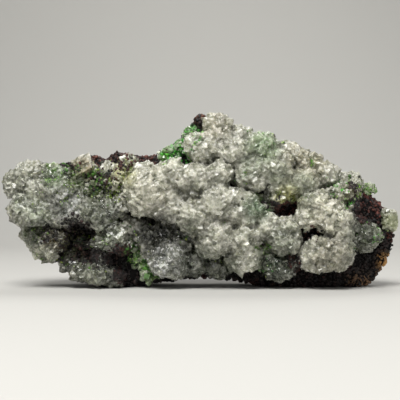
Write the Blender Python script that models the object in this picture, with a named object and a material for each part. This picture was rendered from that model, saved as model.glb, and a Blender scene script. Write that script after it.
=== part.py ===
"""Conichalcite and calcite on limonite: a broken slab of dark iron ochre whose front face is covered with
knobbly crusts of glassy calcite, with green conichalcite between them.

Metres, +Z up, the druse facing -Y. The origin is under the middle of the specimen, in the plane that it
rests on.
"""

import math

import bmesh
import bpy
import numpy as np
from mathutils import Matrix, Vector, noise

MM = 0.001

# The slab's upper and lower outlines, seen from the front: x to the right and z up, in millimetres.
SLAB_TOP = (
    (-51.0, 27.5), (-49.6, 30.6), (-46.6, 33.2), (-42.6, 35.3), (-38.4, 35.0), (-33.6, 36.4),
    (-31.9, 37.9), (-28.4, 35.9), (-25.0, 37.6), (-22.4, 38.6), (-18.2, 37.0), (-13.7, 36.7),
    (-10.9, 38.5), (-7.6, 40.5), (-4.4, 41.9), (-2.6, 44.4), (-1.5, 48.4), (0.9, 49.6),
    (2.6, 47.4), (6.0, 43.6), (12.9, 41.6), (19.3, 40.6), (25.5, 37.4), (31.0, 34.4),
    (36.0, 31.4), (41.5, 29.2), (46.3, 27.8), (49.9, 25.2), (52.4, 22.4), (54.2, 19.4),
    (55.2, 15.6),
)
SLAB_BOTTOM = (
    (-51.0, 22.0), (-49.6, 18.0), (-47.6, 14.0), (-45.8, 11.6), (-43.2, 8.6), (-39.2, 7.0),
    (-36.4, 4.4), (-31.6, 2.2), (-29.0, -0.4), (-25.5, -1.4), (-20.7, -0.8), (-15.7, 0.8),
    (-9.5, 2.2), (0.3, 3.4), (10.1, 2.8), (15.7, 1.6), (20.0, -0.8), (26.0, -1.2),
    (32.0, -1.3), (38.0, -1.0), (45.0, -0.9), (48.7, 1.0), (52.4, 3.6), (53.8, 7.2),
    (55.2, 10.8),
)
FRONT_DEPTH = 9.0
BACK_DEPTH = 13.5
STATIONS = 32
EVEN_STATIONS = 0.65  # the rest of their spacing crowds them towards the slab's ends
AROUND = 20
SECTION_POWER = 0.6
END_POWER = 3.0
END_SHARE = 0.45  # the depth left at the slab's two ends
RELIEF = 1.1
RELIEF_SCALE = 9.0
HOLLOWS = (  # x, z, radius, depth in the front face
    (24.0, 22.4, 4.6, 4.0),
    (-34.5, 15.6, 5.0, 3.4),
    (-20.5, 7.5, 5.0, 2.4),
    (-13.5, 15.0, 5.5, 4.2),
    (31.0, 15.5, 3.6, 3.0),
    (49.0, 7.5, 6.5, 3.6),
)
FRACTURES = (  # outward direction and distance from the middle of the slab, in millimetres
    ((0.55, 0.80, 0.15), 31.0),
    ((-0.45, 0.85, 0.20), 27.5),
    ((0.10, 0.90, -0.42), 15.5),
    ((-0.15, 0.75, 0.62), 19.5),
    ((0.25, 0.80, 0.55), 21.0),
    ((-0.75, 0.55, -0.30), 43.0),
    ((0.80, 0.30, -0.45), 47.5),
)
SLAB_MIDDLE = (0.0, 2.0, 19.0)

# Each calcite mass is a list of knobs grown together: x, z, half width, half height, and how far the
# knob's middle stands out of the slab, all in millimetres. The half sizes take in the small crystals that
# cover the knob. The masses are in the order in which they keep their full shape: each is cut back from
# those before it.
CALCITE = {
    "calcite_centre_mass": (
        (-14.6, 27.0, 6.4, 7.2, 4.4), (-15.6, 31.8, 4.8, 3.9, 2.4), (-7.8, 31.0, 5.4, 4.8, 2.8),
        (-8.6, 23.4, 5.4, 5.6, 4.4), (-0.8, 29.6, 5.6, 5.6, 3.8), (-1.6, 20.4, 5.6, 5.4, 4.4),
        (5.2, 31.4, 4.6, 4.2, 4.2), (5.2, 24.6, 5.6, 5.6, 4.6), (11.4, 22.6, 5.4, 5.8, 3.8),
        (4.2, 14.6, 6.0, 5.6, 4.4), (12.4, 14.2, 4.8, 4.6, 4.2), (12.6, 8.8, 5.2, 4.2, 4.0),
        (23.4, 14.8, 5.2, 5.2, 4.2), (18.0, 17.2, 4.2, 3.8, 3.2),
    ),
    "calcite_right_mass": (
        (32.2, 23.6, 5.0, 4.6, 4.2), (30.6, 20.0, 3.8, 2.8, 4.0), (37.0, 20.0, 5.4, 5.0, 4.8),
        (38.9, 15.8, 4.2, 4.4, 4.0), (35.6, 9.8, 6.4, 5.0, 5.0), (39.4, 10.6, 3.6, 4.4, 4.0),
        (31.4, 8.8, 4.0, 3.8, 3.4),
    ),
    "calcite_centre_foot": (
        (-9.6, 8.4, 5.2, 5.4, 4.0), (-7.2, 6.6, 4.2, 4.0, 3.4), (-13.2, 10.4, 2.8, 2.6, 2.6),
    ),
    "calcite_upper_mass": (
        (5.1, 45.2, 4.1, 4.3, 4.2), (1.2, 39.4, 5.4, 4.8, 3.0), (11.4, 41.8, 4.6, 4.0, 2.2),
        (6.2, 41.2, 4.6, 4.2, 2.6), (10.2, 38.8, 4.6, 4.2, 2.6),
        (7.4, 37.0, 5.0, 4.8, 2.6), (17.8, 39.4, 5.0, 4.8, 2.6), (21.4, 33.6, 5.2, 5.0, 3.2),
        (29.4, 35.0, 6.2, 4.6, 3.2), (24.8, 38.4, 3.8, 3.0, 2.0), (28.6, 29.4, 5.4, 4.4, 2.8),
        (34.6, 31.2, 4.6, 4.0, 2.6), (14.2, 32.0, 5.2, 5.4, 2.6), (22.0, 28.6, 4.4, 3.4, 1.8),
    ),
    "calcite_right_brow": (
        (42.8, 29.3, 3.7, 3.3, 1.9), (38.2, 26.2, 4.0, 3.2, 2.4), (42.4, 26.6, 3.4, 3.4, 2.2),
        (42.8, 23.4, 2.5, 2.8, 1.8),
    ),
    "calcite_left_mass": (
        (-51.6, 29.4, 4.3, 3.9, 2.0), (-47.4, 30.8, 5.2, 4.9, 2.2), (-49.4, 22.4, 4.4, 5.2, 2.2),
        (-44.6, 21.6, 4.8, 4.6, 2.8), (-44.0, 27.6, 4.8, 4.2, 3.2), (-38.8, 26.2, 5.2, 4.6, 3.8),
        (-33.2, 22.8, 5.0, 4.8, 3.8), (-38.8, 21.0, 4.6, 3.6, 2.6), (-39.6, 30.8, 4.0, 3.3, 1.8),
        (-27.6, 20.6, 4.8, 3.8, 2.2), (-23.2, 23.8, 3.8, 4.0, 1.6),
    ),
    "calcite_crest_cap": ((-32.6, 34.0, 3.0, 2.7, 1.9), (-30.2, 32.8, 2.2, 2.2, 1.2)),
    "calcite_rim_cluster": (
        (-23.6, 29.4, 4.0, 3.6, 2.4), (-20.9, 32.6, 2.8, 2.8, 1.8), (-20.2, 35.0, 2.3, 2.6, 1.4),
        (-25.4, 32.8, 2.7, 2.3, 1.4), (-27.4, 30.2, 2.3, 2.3, 1.2),
    ),
    "calcite_left_lower_knob": (
        (-24.4, 14.7, 4.0, 3.7, 2.6), (-27.2, 12.8, 2.6, 2.5, 1.8), (-21.6, 12.8, 2.5, 2.6, 2.0),
    ),
    "calcite_left_foot": (
        (-33.0, 4.8, 3.8, 3.0, 2.2), (-28.6, 4.4, 3.6, 2.9, 2.0), (-24.4, 3.4, 3.0, 2.2, 1.6),
        (-27.8, 8.2, 3.0, 3.2, 1.0), (-36.9, 6.9, 2.9, 2.4, 1.2),
    ),
    "calcite_lower_left_mass": (
        (-41.6, 13.4, 4.2, 3.9, 2.2), (-43.4, 9.9, 3.2, 2.9, 1.6), (-47.2, 15.2, 3.3, 3.0, 1.2),
        (-45.6, 12.2, 3.0, 3.0, 1.2),
    ),
    "calcite_sill": ((-1.0, 7.4, 4.6, 3.2, 1.2), (5.6, 6.4, 4.2, 3.0, 1.2)),
    "calcite_recess": (
        (-15.6, 15.4, 5.0, 3.8, 1.4), (-9.6, 16.6, 4.8, 3.6, 1.4), (-4.4, 13.4, 4.2, 3.8, 1.4),
        (-19.6, 18.0, 3.4, 3.2, 1.0),
    ),
    "calcite_cream_cluster": ((24.2, 26.2, 3.7, 2.4, 2.4), (20.8, 25.5, 3.1, 2.7, 2.2)),
    "calcite_inner_foot": ((21.3, 6.0, 4.8, 3.4, 2.2), (25.8, 8.4, 2.5, 2.4, 1.2)),
    "calcite_right_shelf": ((46.2, 14.6, 4.6, 3.7, 2.2), (43.4, 17.2, 3.2, 2.8, 1.8)),
    "calcite_right_tip": ((53.6, 18.8, 2.6, 3.4, 1.0),),
}

# Each conichalcite crust, the same way. They lie low, in the hollows that the calcite leaves.
CONICHALCITE = {
    "conichalcite_crest": ((-8.0, 37.4, 4.4, 2.8, 0.5), (-4.2, 39.6, 3.4, 3.2, 0.5)),
    "conichalcite_peak_flank": ((-2.6, 43.0, 2.4, 3.0, 0.5),),
    "conichalcite_left_crest": ((-43.0, 33.6, 3.2, 2.2, 0.5),),
    "conichalcite_left_gully": ((-35.4, 29.6, 4.2, 4.4, 0.6),),
    "conichalcite_left_hollow": ((-29.8, 26.8, 3.6, 4.2, 0.4),),
    "conichalcite_rim_gully": ((-20.6, 27.8, 3.6, 3.8, 0.4),),
    "conichalcite_cavity_lip": ((-32.6, 12.6, 4.6, 2.6, 0.3),),
    "conichalcite_foot_rim": ((-16.8, 8.4, 4.0, 3.0, 0.4), (-14.2, 4.8, 3.2, 3.2, 0.4)),
    "conichalcite_inner_hollow": ((16.8, 23.2, 4.2, 4.0, 0.8),),
    "conichalcite_inner_bowl": ((18.2, 12.4, 3.8, 4.2, 0.8),),
    "conichalcite_right_brow": ((39.6, 29.0, 3.6, 2.6, 0.6),),
    "conichalcite_right_edge": ((47.6, 28.0, 3.0, 2.0, 0.4),),
    "conichalcite_shelf_rim": ((49.8, 14.8, 2.6, 3.0, 0.4),),
    "conichalcite_shoulder": ((18.8, 42.6, 3.6, 2.0, 0.6),),
}

KNOB_DEPTH = 0.90  # a knob's half depth, as a share of the mean of its other two
CRUST_DEPTH = 0.42
COVER = 0.5  # the room that the small crystals on a knob take, in millimetres
KNOB_LUMPS = 0.18
LUMP_SCALE = 3.4
LARGE_BALL = (7, 4)  # meridians and bands
SMALL_BALL = (6, 4)
LARGE_FROM = 5.3
GAP = 0.3
SEED_STEP = 17.3


def clear_scene():
    for obj in list(bpy.data.objects):
        bpy.data.objects.remove(obj)


def material(name, colour, roughness, transmission=0.0):
    made = bpy.data.materials.new(name)
    made.use_nodes = True
    shader = made.node_tree.nodes["Principled BSDF"]
    shader.inputs["Base Color"].default_value = (*colour, 1.0)
    shader.inputs["Roughness"].default_value = roughness
    shader.inputs["Metallic"].default_value = 0.0
    shader.inputs["Transmission Weight"].default_value = transmission
    return made


def link(name, mesh, look):
    obj = bpy.data.objects.new(name, mesh)
    bpy.context.scene.collection.objects.link(obj)
    mesh.materials.clear()
    mesh.materials.append(look)
    return obj


def hide(obj):
    obj.hide_render = True
    obj.display_type = "WIRE"


def in_hollow(x, z):
    """How deep the front face is hollowed at a place, in millimetres."""
    deep = 0.0
    for middle_x, middle_z, radius, depth in HOLLOWS:
        share = math.hypot(x - middle_x, z - middle_z) / radius
        deep += depth * math.exp(-share * share)
    return deep


def broken(point, extra):
    """The point, pulled back onto each fracture plane that it stands beyond."""
    for direction, distance in FRACTURES:
        outward = Vector(direction).normalized()
        beyond = (point - Vector(SLAB_MIDDLE)).dot(outward) - distance - extra
        if beyond > 0.0:
            point = point - outward * beyond
    return point


def signed_power(value, power):
    return math.copysign(abs(value) ** power, value)


def slab_point(along, turn, extra):
    """A point of the slab's skin: along runs from -1 at the left end to 1 at the right, and turn goes round
    the cross-section from the front over the top. extra is how many millimetres further out it stands.
    """
    left, right = SLAB_TOP[0][0], SLAB_TOP[-1][0]
    x = (left + right) / 2 + along * (right - left) / 2
    top = float(np.interp(x, *zip(*SLAB_TOP)))
    bottom = float(np.interp(x, *zip(*SLAB_BOTTOM)))
    taper = END_SHARE + (1.0 - END_SHARE) * (1.0 - abs(along) ** END_POWER) ** (1.0 / END_POWER)
    rise = signed_power(math.sin(turn), SECTION_POWER)
    forward = signed_power(math.cos(turn), SECTION_POWER) * taper
    z = (top + bottom) / 2 + rise * (top - bottom) / 2
    lump = noise.noise(Vector((x, forward * 4.0, z)) / RELIEF_SCALE) * RELIEF
    if forward > 0:
        y = -forward * (FRONT_DEPTH + lump - in_hollow(x, z))
    else:
        y = -forward * (BACK_DEPTH + 1.5 * lump)
    place = Vector((x, y, z + 0.5 * lump))
    place += Vector((signed_power(along, 8.0), -math.cos(turn), math.sin(turn))) * extra
    return broken(place, extra) * MM


def slab_meshes():
    """The slab, lofted through cross-sections from left to right, and the same faces one gap further out."""
    shape = bmesh.new()
    rings = []
    grown_places = []
    for station in range(STATIONS):
        share = station / (STATIONS - 1)
        along = (2 * share - 1) * EVEN_STATIONS - math.cos(math.pi * share) * (1 - EVEN_STATIONS)
        ring = []
        for k in range(AROUND):
            turn = 2 * math.pi * (k + 0.5) / AROUND
            ring.append(shape.verts.new(slab_point(along, turn, 0.0)))
            grown_places.append(slab_point(along, turn, GAP))
        rings.append(ring)
    for before, after in zip(rings, rings[1:]):
        for k in range(AROUND):
            above = (k + 1) % AROUND
            shape.faces.new((before[k], before[above], after[above]))
            shape.faces.new((before[k], after[above], after[k]))
    shape.faces.new(rings[0][::-1])
    shape.faces.new(rings[-1])
    bmesh.ops.triangulate(shape, faces=shape.faces[:])
    bmesh.ops.recalc_face_normals(shape, faces=shape.faces[:])
    mesh = bpy.data.meshes.new("limonite_matrix")
    shape.to_mesh(mesh)
    shape.free()
    grown = mesh.copy()
    for vert, place in zip(grown.vertices, grown_places):
        vert.co = place
    return mesh, grown


def box_below_floor():
    """A block whose top is the resting plane, wider than the specimen."""
    shape = bmesh.new()
    bmesh.ops.create_cube(shape, size=1.0)
    for vert in shape.verts:
        vert.co = Vector((vert.co.x * 200.0, vert.co.y * 100.0, (vert.co.z - 0.5) * 20.0)) * MM
    mesh = bpy.data.meshes.new("floor_cutter")
    shape.to_mesh(mesh)
    shape.free()
    return mesh


def combine(obj, other, operation):
    """A Boolean of two objects, applied to the first."""
    modifier = obj.modifiers.new(operation.lower(), "BOOLEAN")
    modifier.operation = operation
    modifier.object = other
    modifier.solver = "EXACT"
    modifier.use_self = True
    bpy.context.view_layer.update()
    graph = bpy.context.evaluated_depsgraph_get()
    result = bpy.data.meshes.new_from_object(obj.evaluated_get(graph))
    obj.modifiers.clear()
    obj.data = result


def seat_on(slab, x, z):
    """The point of the slab's front face at x, z, or of its rim where the knob hangs past the slab."""
    hit, place, _, _ = slab.ray_cast(Vector((x, -60.0, z)) * MM, Vector((0.0, 1.0, 0.0)))
    if not hit:
        _, place, _, _ = slab.closest_point_on_mesh(Vector((x, -4.0, z)) * MM)
    return place / MM


def knob(name, slab, numbers, depth_share, seed, extra=0.0):
    """A ball stretched to the knob's half sizes, with low lumps, and extra millimetres further out."""
    x, z, width, height, stand = numbers
    half_width, half_height = width - COVER, height - COVER
    middle = Vector((x, seat_on(slab, x, z).y - stand, z))
    half_depth = depth_share * (half_width + half_height) / 2
    shape = bmesh.new()
    meridians, bands = LARGE_BALL if width > LARGE_FROM else SMALL_BALL
    turn = Matrix.Rotation(seed * 2.4, 3, "Z") @ Matrix.Rotation(0.5 + seed, 3, "X")
    bmesh.ops.create_uvsphere(shape, u_segments=meridians, v_segments=bands, radius=1.0)
    bmesh.ops.triangulate(shape, faces=shape.faces[:])
    bmesh.ops.rotate(shape, verts=shape.verts[:], matrix=turn)
    for vert in shape.verts:
        place = Vector((vert.co.x * half_width, vert.co.y * half_depth, vert.co.z * half_height))
        where = (middle + place) / LUMP_SCALE + Vector((seed, 0.0, 0.0))
        lump = 1.0 + KNOB_LUMPS * noise.noise(where)
        outward = Vector((place.x / half_width**2, place.y / half_depth**2, place.z / half_height**2))
        vert.co = (middle + place * lump + outward.normalized() * extra) * MM
    mesh = bpy.data.meshes.new(name)
    shape.to_mesh(mesh)
    shape.free()
    return mesh


def islands(shape):
    """The mesh's separate bodies, as lists of vertices."""
    left = dict.fromkeys(shape.verts)
    found = []
    while left:
        stack = [left.popitem()[0]]
        body = []
        while stack:
            vert = stack.pop()
            body.append(vert)
            for edge in vert.link_edges:
                other = edge.other_vert(vert)
                if other in left:
                    del left[other]
                    stack.append(other)
        found.append(body)
    return found


def keep_largest_body(obj):
    """Drops the chips that a cut leaves beside the main body."""
    shape = bmesh.new()
    shape.from_mesh(obj.data)
    bodies = sorted(islands(shape), key=len)
    for chip in bodies[:-1]:
        bmesh.ops.delete(shape, geom=chip, context="VERTS")
    bmesh.ops.triangulate(shape, faces=shape.faces[:])
    shape.to_mesh(obj.data)
    shape.free()


def near(obj, other):
    """Whether the two objects' boxes meet."""
    spans = []
    for one in (obj, other):
        corners = np.array([vert.co for vert in one.data.vertices])
        spans.append((corners.min(axis=0), corners.max(axis=0)))
    (low, high), (other_low, other_high) = spans
    return bool((low <= other_high).all() and (other_low <= high).all())


def joined(name, slab, knobs, depth_share, look, seed, extra=0.0):
    """The knobs as one solid."""
    pieces = []
    for index, numbers in enumerate(knobs):
        mesh = knob(name, slab, numbers, depth_share, seed + index, extra)
        pieces.append(link(f"{name}_knob{index}", mesh, look))
    body = pieces[0]
    body.name = name
    for other in pieces[1:]:
        combine(body, other, "UNION")
        bpy.data.objects.remove(other)
    return body


def crust(name, slab, knobs, depth_share, look, cutters):
    """One crust, cut back from the slab and from the crusts made before it, and its own cutter."""
    seed = len(cutters) * SEED_STEP
    body = joined(name, slab, knobs, depth_share, look, seed)
    for cutter in cutters:
        if near(body, cutter):
            combine(body, cutter, "DIFFERENCE")
    keep_largest_body(body)
    cutter = joined(f"{name}_cutter", slab, knobs, depth_share, look, seed, extra=GAP)
    hide(cutter)
    return body, cutter


def centred(objects):
    """Moves everything so that the middle of its box is over the origin."""
    corners = np.concatenate([[vert.co[:] for vert in obj.data.vertices] for obj in objects])
    middle = (corners.min(axis=0) + corners.max(axis=0)) / 2
    for obj in objects:
        for vert in obj.data.vertices:
            vert.co.x -= middle[0]
            vert.co.y -= middle[1]


def main():
    clear_scene()
    rock = material("limonite", (0.045, 0.022, 0.016), 0.85)
    calcite = material("calcite", (0.78, 0.79, 0.74), 0.15, transmission=0.6)
    green = material("conichalcite", (0.10, 0.32, 0.03), 0.45)

    slab_shape, grown_shape = slab_meshes()
    slab = link("limonite_matrix", slab_shape, rock)
    slab_cutter = link("limonite_cutter", grown_shape, rock)
    hide(slab_cutter)
    floor = link("floor_cutter", box_below_floor(), rock)
    hide(floor)
    combine(slab, floor, "DIFFERENCE")
    keep_largest_body(slab)

    made = [slab]
    cutters = [slab_cutter, floor]
    for kinds, depth_share, look in ((CALCITE, KNOB_DEPTH, calcite), (CONICHALCITE, CRUST_DEPTH, green)):
        for name, knobs in kinds.items():
            body, cutter = crust(name, slab, knobs, depth_share, look, cutters)
            made.append(body)
            cutters.append(cutter)
    for cutter in cutters:
        bpy.data.objects.remove(cutter)
    centred(made)


main()
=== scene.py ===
"""Conichalcite and calcite on limonite: the looks of the rough specimen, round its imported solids.

Lengths inside the shape functions are in millimetres, and meshes are written in metres. x runs
along the specimen, y away from the viewer and z up.
"""

import math

import bpy
import numpy as np
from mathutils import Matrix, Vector
from mathutils.bvhtree import BVHTree


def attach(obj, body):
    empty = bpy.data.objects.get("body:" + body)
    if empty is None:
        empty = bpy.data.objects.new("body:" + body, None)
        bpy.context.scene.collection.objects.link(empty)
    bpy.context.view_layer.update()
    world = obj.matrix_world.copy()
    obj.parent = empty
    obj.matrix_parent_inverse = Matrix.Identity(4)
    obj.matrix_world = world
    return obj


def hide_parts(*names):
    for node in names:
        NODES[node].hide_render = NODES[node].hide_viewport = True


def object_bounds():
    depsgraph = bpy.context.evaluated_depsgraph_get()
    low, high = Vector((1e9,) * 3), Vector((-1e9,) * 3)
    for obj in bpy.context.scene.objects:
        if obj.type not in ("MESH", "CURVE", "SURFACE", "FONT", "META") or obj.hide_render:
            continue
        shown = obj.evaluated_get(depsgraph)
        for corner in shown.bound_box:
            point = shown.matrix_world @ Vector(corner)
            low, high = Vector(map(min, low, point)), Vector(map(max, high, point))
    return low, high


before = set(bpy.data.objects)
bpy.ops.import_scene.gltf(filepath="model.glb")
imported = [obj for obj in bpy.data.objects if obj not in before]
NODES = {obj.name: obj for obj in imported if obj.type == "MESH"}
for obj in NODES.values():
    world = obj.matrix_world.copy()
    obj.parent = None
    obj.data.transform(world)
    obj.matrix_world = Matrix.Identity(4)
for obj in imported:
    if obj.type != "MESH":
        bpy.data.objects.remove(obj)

MM = 0.001
CAD_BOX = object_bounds()
RNG = np.random.default_rng(11)

CALCITE = sorted(name for name in NODES if name.startswith("calcite_"))
CONICHALCITE = sorted(name for name in NODES if name.startswith("conichalcite_"))
ROCK = "limonite_matrix"

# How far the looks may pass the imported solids' box on each side, and how near the floor they end.
ROOM = np.array([0.7, 0.4, 0.7])
FLOOR_GAP = 0.02


# The looks: widths and depths of their patterns, in millimetres

# Refractive indices: calcite's lies between those of its two rays.
CALCITE_IOR = 1.6
CONICHALCITE_IOR = 1.8
LIMONITE_IOR = 1.9

# Calcite: milky veils, frosted places, clear windows and growth steps.
VEIL_WIDTH = 1.6
FROST_WIDTH = 0.8
WINDOW_WIDTH = 1.1
STEP_WIDTH = 0.5
STEP_DEPTH = 0.05

# Painted shade, tinted grey-green, that darkens the windows for the dim inside seen through them,
# how much of each colour the glow carries, and the colour that the inside lets through.
WINDOW_PAINTED_SHADE = (0.80, 0.83, 0.74)
GLOW_COLOURS = (1.0, 0.99, 0.94)
INSIDE = "#cfd6bf"

# Grains: the mottle of each, its pits, and the broad pattern of the bed under them.
MOTTLE_WIDTH = 0.35
PIT_WIDTH = 0.3
PIT_DEPTH = 0.12
BROAD_WIDTH = 5.0


# The build of a calcite mass, in millimetres and shares

# Knobs: places tried per square millimetre, the least distance between two and to other solids,
# how far a lobe is judged, the usual radius, its limits, and the share of it that is sunk.
SEATS_PER_MM2 = 4.0
KNOB_SPACING = 1.7
KNOB_CLEARANCE = 0.5
LOBE_REACH = 5.0
KNOB_RADIUS = 1.4
KNOB_LIMITS = (0.7, 2.8)
KNOB_SINK = 0.60

# Crystals: how many are tried on a knob of PLAIN_KNOB radius if they are PLAIN_CRYSTAL long, and
# their least and greatest sizes.
PER_KNOB = 30
PLAIN_KNOB = 1.3
PLAIN_CRYSTAL = 0.62
CRYSTAL_LIMITS = (0.25, 1.6)

# The skin: its pitch on a small mass and on one of over LARGE_MASS knobs, how far a knob's values
# carry over it, and the share of clear crystals above which a mass is glassy.
SKIN_PITCH = (0.20, 0.245)
LARGE_MASS = 280
SEAT_REACH = 1.0
GLASSY_SHARE = 0.6

# Single crystals that stand sharp on the skin: their share, the longest, how far they outgrow it,
# and how much of the calcite's brightness they have.
TIP_SHARE = 0.24
LONGEST_TIP = 1.35
TIP_GROWTH = 1.05
TIP_SHADE = 0.92

# How much painted shade darkens the creases between lobes and the pits between crystals, in red,
# green and blue.
CREASE_PAINTED_SHADE = 0.74
PIT_PAINTED_SHADE = np.array([0.62, 0.60, 0.65])

# How thickly grains lie in the pits, how much green shines out of them, and the usual radii of
# the green grains and the brown ones.
GRAINS_IN_PITS = 0.22
GREEN_GLOW = 0.55
DUST_RADIUS = 0.20
OCHRE_RADIUS = 0.30


# The build of the crusts and of the rock's skin, in millimetres and shares

# A crust's grains: places tried per square millimetre, the least distance between two and to other
# solids, the usual radius and its limits. Then the sizes of the crystals on them.
CRUST_PER_MM2 = 22.0
CRUST_SPACING = 0.40
CRUST_CLEARANCE = 0.25
CRUST_RADIUS = 0.26
CRUST_LIMITS = (0.14, 0.6)
CRUST_CRYSTAL = 0.5
CRUST_CRYSTAL_LIMITS = (0.25, 1.1)

# The rock's grains: places tried in each cube of their spacing, and how near the floor and the
# minerals they end. Then the lump of them at the peak: where, how large, how many, their radius.
TRIED_IN_CUBE = 5.0
ROCK_FLOOR_GAP = 0.5
ROCK_CLEARANCE = 0.12
PEAK = (0.3, 47.5)
PEAK_SIZE = 1.8
PEAK_GRAINS = 420
PEAK_RADIUS = 0.34

# Smooth random fields: wavelength and seed.
BROAD_SHADES = (5.5, 71)
FINE_SHADES = (2.4, 72)
GREEN_CREASES = (9.0, 21)
SETTLED = (2.4, 61)
CRUST_LUMPS = (1.8, 35)
CRUST_ROCK = (3.2, 34)
CRUST_CRYSTALS = (2.6, 33)
BROWN_PATCHES = (5.0, 41)
BROWN_SPOTS = (1.6, 42)
ROCK_LUMPS = (2.4, 51)
ROCK_BUMPS = (1.1, 52)


# Colour by place. Each row acts over the ones before it.

# Calcite: x, z, reach, tint, share of clear crystals. Beside the calcite's own tints, the dark grey
# rows paint shade low down, in hollows and under the central boss, and a white row paints the
# highlight on the left ridge.
PALE = "#e6e4d9"
CLEAR_SHARE = 0.55
TINTS_AND_PAINTED_LIGHT = (
    (-14.5, 27.0, 8.0, "#e8e4d6", 0.30),
    (4.5, 45.5, 4.5, "#e0dacb", 0.30),
    (29.5, 35.5, 6.5, "#ccc6b2", 0.35),
    (35.0, 21.0, 6.5, "#e8e4d4", 0.25),
    (36.0, 9.5, 6.0, "#b9b4a4", 0.35),
    (-40.0, 31.5, 4.0, "#a9ba98", 0.80),
    (-49.0, 24.0, 4.0, "#eef2e4", 0.75),
    (-44.5, 21.0, 4.5, "#e6eadc", 0.80),
    # Painted highlight on the left ridge, where the light falls.
    (-37.0, 24.4, 5.0, "#ffffff", 0.65),
    (-50.5, 31.0, 5.0, "#f2f2e6", 0.50),
    # Painted shade on the shelf left of the central boss.
    (-26.5, 21.5, 4.5, "#8e9484", 0.80),
    (-25.0, 15.5, 4.0, "#bcc2b2", 0.75),
    (-41.5, 14.0, 3.8, "#564c30", 0.50),
    (-47.5, 14.8, 3.0, "#5c6849", 0.70),
    (-44.0, 8.8, 2.8, "#d4d4c2", 0.60),
    # Painted shade over the low left, on the shadowed knob and in the cavity.
    (-28.0, 6.0, 8.0, "#7c8072", 0.65),
    (-27.8, 9.0, 3.0, "#2c2f26", 0.65),
    (-36.9, 8.4, 2.6, "#2b2f1e", 0.60),
    (-30.5, 3.6, 4.0, "#c4c6b6", 0.65),
    (-32.8, 33.6, 3.6, "#b9ac90", 0.40),
    (-21.5, 32.0, 4.0, "#d6d4a8", 0.45),
    (-23.5, 29.3, 2.6, "#dcd8c6", 0.35),
    (-30.6, 27.4, 3.4, "#4c5630", 0.70),
    (-35.0, 30.2, 2.6, "#7c8a60", 0.70),
    (-9.4, 8.3, 6.0, "#ffffff", 0.60),
    (17.7, 39.9, 5.0, "#b0c0a0", 0.75),
    (14.5, 34.5, 3.6, "#c0c6b4", 0.70),
    (21.5, 32.0, 3.5, "#c4c8b6", 0.70),
    (28.0, 29.0, 4.5, "#b4b8a4", 0.70),
    # Painted shade low on the right.
    (21.0, 7.0, 5.5, "#4a5a42", 0.80),
    (24.0, 25.6, 3.6, "#d0ce98", 0.45),
    (23.4, 14.2, 4.6, "#b2b5a6", 0.60),
    (15.5, 22.5, 4.0, "#7d9076", 0.75),
    (42.5, 26.5, 3.6, "#a09a7e", 0.55),
    (46.0, 14.8, 5.0, "#7a826c", 0.75),
    (46.2, 21.4, 3.0, "#2c1d16", 0.50),
    (-34.2, 15.6, 3.6, "#231a10", 0.50),
    (-22.0, 9.0, 3.0, "#2a1810", 0.50),
    (53.8, 18.8, 3.2, "#bcc19c", 0.45),
    # Painted shade over the low middle and below the central boss.
    (-1.0, 7.0, 5.5, "#7a8071", 0.75),
    (6.5, 5.8, 4.5, "#8a8f7e", 0.75),
    (-2.5, 17.0, 3.5, "#8d8f7f", 0.70),
    (-30.0, 21.5, 3.0, "#a3a897", 0.70),
    # Painted shade in the recess under the central boss.
    (-12.0, 15.6, 6.0, "#33352d", 0.75),
)

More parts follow.
